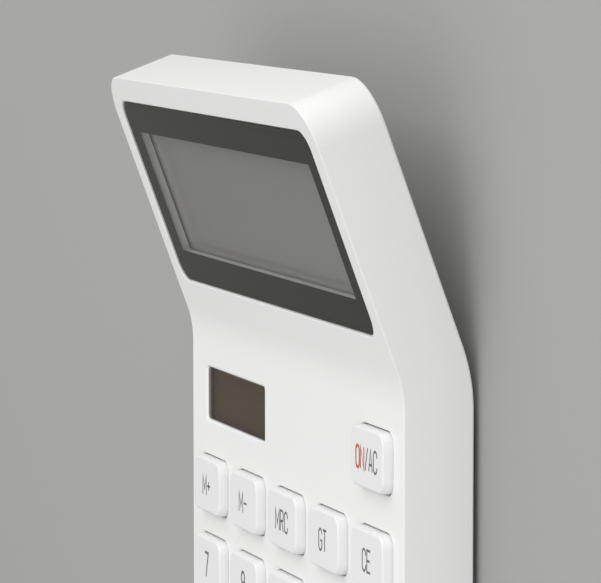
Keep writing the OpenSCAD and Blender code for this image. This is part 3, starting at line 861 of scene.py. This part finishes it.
def make_fasteners_and_feet():
    """Pan head screws in the case and on the board, the sunk door screw, and the four feet."""
    screws = stud_tree("cross_screw", MATERIALS["screw_steel"], True)
    feet = stud_tree("foot_pad", MATERIALS["foot_grey"], False)
    crown = SCREW_HEAD_T * CROWN_SHARE
    pan = {"Seat Diameter": SCREW_HEAD_D, "Head Diameter": SCREW_HEAD_D, "Rim Height": SCREW_HEAD_T - crown,
           "Crown Height": crown, "Crown Ratio": CROWN_RATIO, "Recess Width": CROSS_W,
           "Recess Length": CROSS_L, "Recess Depth": CROSS_DEPTH, "Shank Diameter": SCREW_D,
           "Shank Length": SCREW_L - COVER_T}
    bearing = COVER_BACK - COUNTERBORE
    places = [(place(x, s, bearing), back_axis(on_head)) for x, s, on_head in case_screw_places()]
    make_studs("case_screw_set", screws, pan, places, "screw_steel", "case_screws")
    places = [(place(x, s, BOARD_TOP + BOARD_T), back_axis(False)) for x, s in board_screw_places()]
    make_studs("board_screw_set", screws, pan, places, "screw_steel", "board_screws")
    sunk = dict(pan)
    sunk["Seat Diameter"] = SCREW_D
    sunk["Rim Height"] = SCREW_HEAD_T - SUNK_BEVEL
    sunk["Crown Height"] = SUNK_BEVEL
    sunk["Crown Ratio"] = SUNK_RATIO
    sunk["Shank Length"] = COVER_T + DOOR_BOSS_L - SCREW_HEAD_T
    seat = place(DOOR_SCREW_X, LENS_MID, COVER_BACK - SCREW_HEAD_T)
    make_studs("door_screw_sunk", screws, sunk, [(seat, back_axis(True))], "screw_steel", "door_screw")
    foot_t = CASE_T + FOOT_H - COVER_BACK + FOOT_SEAT
    pad = {"Seat Diameter": FOOT_D, "Head Diameter": FOOT_D, "Rim Height": foot_t - FOOT_EASE,
           "Crown Height": FOOT_EASE, "Crown Ratio": 1 - 2 * FOOT_EASE / FOOT_D}
    places = [(place(x, s, COVER_BACK - FOOT_SEAT), back_axis(False)) for x, s in foot_places()]
    make_studs("rubber_foot_set", feet, pad, places, "foot_grey", "rubber_feet")


# Keys

def make_key(name):
    """Hollow key cap: eased top edge, drafted sides, holding flange, and a post below."""
    cx, cs = key_centre(name)

    def outline(shrink):
        r = max(KEY_R - shrink, KEY_INNER_R)
        return rounded_outline(cx, cs, KEY_W - 2 * shrink, KEY_H - 2 * shrink, r)

    bm = bmesh.new()
    top = [(KEY_DRAFT + KEY_FILLET + SUPPORT, -KEY_RISE)]
    top += [(KEY_DRAFT + inset, depth - KEY_RISE) for inset, depth in fillet(KEY_FILLET)]
    flange_back = FLANGE_TOP + FLANGE_T
    ceiling = KEY_WALL - KEY_RISE
    side = [(0.0, 0.0), (0.0, FLANGE_TOP), (-FLANGE_W, FLANGE_TOP), (-FLANGE_W, flange_back)]
    inside = [(KEY_WALL, flange_back), (KEY_WALL, ceiling)]
    loops = [loop_of(bm, outline(shrink), depth) for shrink, depth in top + side + inside]
    post = disc_outline(cx, cs, POST_D / 2)
    loops += [loop_of(bm, post, depth) for depth in (ceiling, POST_END)]
    skin(bm, loops)
    bm.faces.new(loops[0])
    bm.faces.new(loops[-1])
    piece = finish_mesh(name + "_cap", bm)
    dress(piece, MATERIALS["key_white"], name, "key_white", name)


# Lettering made of thin strokes on a unit cap height

def bow(cx, cy, rx, ry, start, end, steps=10):
    """Points along part of an ellipse, between two angles in degrees."""
    turns = [math.radians(start + (end - start) * i / steps) for i in range(steps + 1)]
    return [(cx + rx * math.cos(t), cy + ry * math.sin(t)) for t in turns]


GLYPH_W = 0.45
GLYPH_R = GLYPH_W / 2


def draw_glyphs():
    """Strokes of each sign: a stroke is (points, closed), in a box one unit high."""
    w, r = GLYPH_W, GLYPH_R
    mid = 0.5
    ring = bow(r, 1 - r, r, r, 0, 180) + bow(r, r, r, r, 180, 360)
    hook = bow(r, 1 - r, r, r, -15, 180) + bow(r, r, r, r, 180, 375)
    small = 0.1
    dot = 0.045
    point = 0.08
    return {
        "0": [(ring, True)],
        "O": [(ring, True)],
        "C": [(hook, False)],
        "G": [(ring + [(w, 0.46), (r, 0.46)], False)],
        "E": [([(w, 1), (0, 1), (0, 0), (w, 0)], False), ([(0, 0.52), (w * 0.85, 0.52)], False)],
        "A": [([(0, 0), (r, 1), (w, 0)], False), ([(w * 0.16, 0.31), (w * 0.84, 0.31)], False)],
        "N": [([(0, 0), (0, 1), (w, 0), (w, 1)], False)],
        "M": [([(0, 0), (0, 1), (w * 0.65, 0.3), (w * 1.3, 1), (w * 1.3, 0)], False)],
        "R": [([(0, 0), (0, 1)] + bow(r, 0.75, r, 0.25, 90, -90) + [(0, 0.5)], False),
              ([(r, 0.5), (w, 0)], False)],
        "T": [([(0, 1), (w, 1)], False), ([(r, 1), (r, 0)], False)],
        "/": [([(0, -0.04), (w * 0.75, 1.04)], False)],
        "+": [([(0, mid), (w, mid)], False), ([(r, mid - r), (r, mid + r)], False)],
        "-": [([(0, mid), (w, mid)], False)],
        "=": [([(0, 0.4), (w, 0.4)], False), ([(0, 0.62), (w, 0.62)], False)],
        "×": [([(0, mid - r), (w, mid + r)], False), ([(0, mid + r), (w, mid - r)], False)],
        "÷": [([(0, mid), (w, mid)], False), ([(r, mid + r - dot), (r, mid + r + dot)], False),
              ([(r, mid - r - dot), (r, mid - r + dot)], False)],
        "%": [(bow(small, 0.78, small, 0.16, 0, 330), True),
              (bow(w - small, 0.22, small, 0.16, 0, 330), True),
              ([(0.02, 0.04), (w - 0.02, 0.96)], False)],
        "√": [([(0, 0.45), (0.09, 0.5), (0.2, 0.06), (0.34, 1), (0.68, 1)], False)],
        ".": [([(r, 0.3 - point), (r, 0.3 + point)], False)],
        "±": [([(0, 0.62), (w, 0.62)], False), ([(r, 0.62 - r), (r, 0.62 + r)], False),
              ([(0, 0.14), (w, 0.14)], False)],
        "1": [([(0.06, 0.82), (0.22, 1), (0.22, 0)], False)],
        "2": [(bow(r, 1 - r, r, r, 170, -25) + [(0, 0), (w, 0)], False)],
        "3": [(bow(r, 0.77, r, 0.23, 150, -80) + bow(r, 0.27, r, 0.27, 80, -150), False)],
        "4": [([(w * 0.74, 0), (w * 0.74, 1), (0, 0.28), (w, 0.28)], False)],
        "5": [([(w * 0.94, 1), (0.02, 1), (0.0, 0.52)] + bow(r, 0.3, r, 0.3, 110, -150), False)],
        "6": [(bow(r, 0.3, r, 0.3, 180, 540), False), ([(0, 0.3)] + bow(w, 0.55, w, 0.45, 170, 105), False)],
        "7": [([(0, 1), (w, 1), (w * 0.3, 0)], False)],
        "8": [(bow(r, 0.765, r * 0.9, 0.235, -90, 240), True), (bow(r, 0.265, r, 0.265, 90, 420), True)],
        "9": [(bow(r, 0.7, r, 0.3, 0, 360), False), ([(w, 0.7)] + bow(0, 0.45, w, 0.45, -10, -75), False)],
    }


GLYPHS = draw_glyphs()


def glyph_width(sign):
    return max(x for points, closed in GLYPHS[sign] for x, y in points)


def tidy_points(points, closed):
    """Drops each point that falls on the one before it."""
    kept = [points[0]]
    for p in points[1:]:
        if math.dist(p, kept[-1]) > SAME_POINT:
            kept.append(p)
    if closed and math.dist(kept[0], kept[-1]) < SAME_POINT:
        kept.pop()
    return kept


def stroke_sides(points, closed, half):
    """Left and right edges of a stroke of constant width, mitred at its corners."""
    count = len(points)
    left, right = [], []
    for i, (x, y) in enumerate(points):
        before = points[i - 1] if i or closed else None
        after = points[(i + 1) % count] if i < count - 1 or closed else None
        ways = []
        for a, b in ((before, (x, y)), ((x, y), after)):
            if a and b:
                length = math.dist(a, b)
                ways.append(((b[0] - a[0]) / length, (b[1] - a[1]) / length))
        nx = -sum(way[1] for way in ways)
        ny = sum(way[0] for way in ways)
        size = math.hypot(nx, ny)
        nx, ny = nx / size, ny / size
        reach = half / max(MITRE_LIMIT, -ways[0][1] * nx + ways[0][0] * ny)
        left.append((x + nx * reach, y + ny * reach))
        right.append((x - nx * reach, y - ny * reach))
    return left, right


def add_stroke(bm, points, closed, weight, to_place):
    """One printed stroke as a thin closed strip, half of its thickness proud of the key."""
    points = tidy_points(points, closed)
    left, right = stroke_sides(points, closed, weight * STROKE / 2)
    up, low = -KEY_RISE - INK_T / 2, -KEY_RISE + INK_T / 2
    rings = []
    for a, b in zip(left, right):
        corners = ((a, up), (b, up), (b, low), (a, low))
        rings.append([bm.verts.new(place(*to_place(p), depth)) for p, depth in corners])
    pairs = list(zip(rings, rings[1:]))
    if closed:
        pairs.append((rings[-1], rings[0]))
    else:
        bm.faces.new(rings[0])
        bm.faces.new(rings[-1])
    for one, two in pairs:
        for i in range(4):
            j = (i + 1) % 4
            bm.faces.new((one[i], one[j], two[j], two[i]))


def make_legend(key, runs, height):
    """Prints runs of signs, each with its own ink and weight, centred on a key's face."""
    cx, cs = key_centre(key)
    signs = "".join(text for text, ink, weight in runs)
    total = sum(glyph_width(sign) for sign in signs) + LETTER_GAP * (len(signs) - 1)
    pen = -total / 2
    for text, ink, weight in runs:
        bm = bmesh.new()
        for sign in text:
            def to_place(p, start=pen):
                return cx + (p[0] + start) * height, cs + (p[1] - 0.5) * height

            for points, closed in GLYPHS[sign]:
                add_stroke(bm, points, closed, weight, to_place)
            pen += glyph_width(sign) + LETTER_GAP
        dress(finish_mesh(key + "_" + ink, bm, LEGEND_SHARP), MATERIALS[ink], key, "key_white")


# Flat plates with eased edges

def make_plate(name, outline, top, bottom, ease):
    """A plate between two depths whose outline(shrink) is eased along both faces."""
    bm = bmesh.new()
    profile = [(ease + SUPPORT, top)]
    profile += [(inset, top + depth) for inset, depth in fillet(ease, EASE_STEPS)]
    profile += [(inset, bottom - depth) for inset, depth in reversed(fillet(ease, EASE_STEPS))]
    profile += [(ease + SUPPORT, bottom)]
    loops = [loop_of(bm, outline(shrink), depth) for shrink, depth in profile]
    skin(bm, loops)
    bm.faces.new(loops[0])
    bm.faces.new(loops[-1])
    return finish_mesh(name, bm)


def lens_outline(shrink):
    return rounded_outline(0, LENS_MID, LENS_W - 2 * shrink, LENS_H - 2 * shrink, LENS_R - shrink)


def make_solar_window():
    """Clear window whose raised middle fills the opening, with a lap behind the deck."""
    bm = bmesh.new()
    inner = -SOLAR_GAP
    eased = inner - SOLAR_EASE
    profile = [(eased - SUPPORT, SOLAR_INSET), (eased, SOLAR_INSET)]
    profile += [(inner, SOLAR_INSET + SOLAR_EASE), (inner, SOLAR_DEPTH)]
    profile += [(SOLAR_LAP, SOLAR_DEPTH), (SOLAR_LAP, SOLAR_BACK)]
    loops = [loop_of(bm, solar_opening(grow), depth) for grow, depth in profile]
    skin(bm, loops)
    bm.faces.new(loops[0])
    bm.faces.new(loops[-1])
    piece = finish_mesh("solar_window_plate", bm)
    dress(piece, MATERIALS["solar_clear"], "case", "solar_clear", "solar_window")


# The whole object

key_names = [POWER_KEY] + list(KEY_LEGENDS)
make_shell(key_names)
make_back_cover()
make_battery_door()
make_fasteners_and_feet()
for key_name in key_names:
    make_key(key_name)
for key_name, text in KEY_LEGENDS.items():
    if text in SIGNS:
        weight = POINT_WEIGHT if text == "." else SIGN_WEIGHT
        make_legend(key_name, [(text, "ink_grey", weight)], SIGN_H)
    else:
        make_legend(key_name, [(text, "ink_grey", 1.0)], LEGEND_H if text[0].isalpha() else DIGIT_H)
make_legend(POWER_KEY, POWER_LEGEND, LEGEND_H)
make_solar_window()
lens = make_plate("lens_plate", lens_outline, LENS_INSET, LENS_INSET + LENS_T, LENS_EASE)
dress(lens, MATERIALS["lens_clear"], "case", "lens_clear", "display_lens")

slots = {part["node"]: part["material_slot"] for part in frame["record"]["subparts"]}
for node_name, node in frame["nodes"].items():
    node.data.materials.clear()
    node.data.materials.append(MATERIALS[slots[node_name]])


# Stage, light and camera

def lamp(name, at, target, size, power):
    data = bpy.data.lights.new(name, "AREA")
    data.shape = "RECTANGLE"
    data.size, data.size_y = size
    data.energy = power
    light = bpy.data.objects.new(name, data)
    light.location = at
    light.rotation_mode = "QUATERNION"
    light.rotation_quaternion = (Vector(target) - Vector(at)).to_track_quat("-Z", "Y")
    bpy.context.scene.collection.objects.link(light)


def make_floor(size, grey):
    made = Finish("floor_paper", {"Roughness": 0.9})
    made.set("Base Color", made.blend(made.noise(3.0), shade(grey, 0.98), shade(grey, 1.02)))
    bm = bmesh.new()
    bmesh.ops.create_grid(bm, x_segments=1, y_segments=1, size=size)
    mesh = bpy.data.meshes.new("floor")
    bm.to_mesh(mesh)
    bm.free()
    mesh.materials.append(made.material)
    floor = bpy.data.objects.new("floor", mesh)
    bpy.context.scene.collection.objects.link(floor)


def make_world(light, backdrop):
    """Even light all round, behind which the camera and the glossy faces see a grey backdrop."""
    world = bpy.data.worlds.new("studio")
    world.use_nodes = True
    made = Nodes(world.node_tree)
    seen = 0
    for ray in ("Is Camera Ray", "Is Glossy Ray", "Is Transmission Ray"):
        seen = seen + made.node("ShaderNodeLightPath", {}, {}, ray)
    background = world.node_tree.nodes["Background"]
    made.feed(background.inputs["Color"], (1, 1, 1))
    made.feed(background.inputs["Strength"], light + seen * (backdrop - light))
    bpy.context.scene.world = world


def make_camera():
    """The camera that was fitted to the photograph."""
    data = bpy.data.cameras.new("camera")
    data.lens = CAMERA_LENS
    data.sensor_width = SENSOR_W
    data.clip_start = 0.01
    data.clip_end = 20
    camera = bpy.data.objects.new("camera", data)
    right, up = Vector(CAMERA_RIGHT), Vector(CAMERA_UP)
    back = right.cross(up)
    turn = Matrix((right, up, back)).transposed().to_4x4()
    at = (Vector(CAMERA_AT) + Vector((0, REST_Y, REST_Z))) * MM
    camera.matrix_world = Matrix.Translation(at) @ turn
    bpy.context.scene.collection.objects.link(camera)
    bpy.context.scene.camera = camera


LAMP_AIM = (0, 0, 0.02)
make_floor(size=6.0, grey=(0.345, 0.345, 0.34))
make_world(light=0.65, backdrop=0.28)
lamp("softbox_far", at=(0.1, 1.15, 0.86), target=LAMP_AIM, size=(2.5, 1.6), power=18.0)
lamp("softbox_right", at=(1.2, -0.2, 0.9), target=LAMP_AIM, size=(1.6, 1.6), power=7.6)
make_camera()
bpy.context.scene.view_settings.view_transform = "Standard"
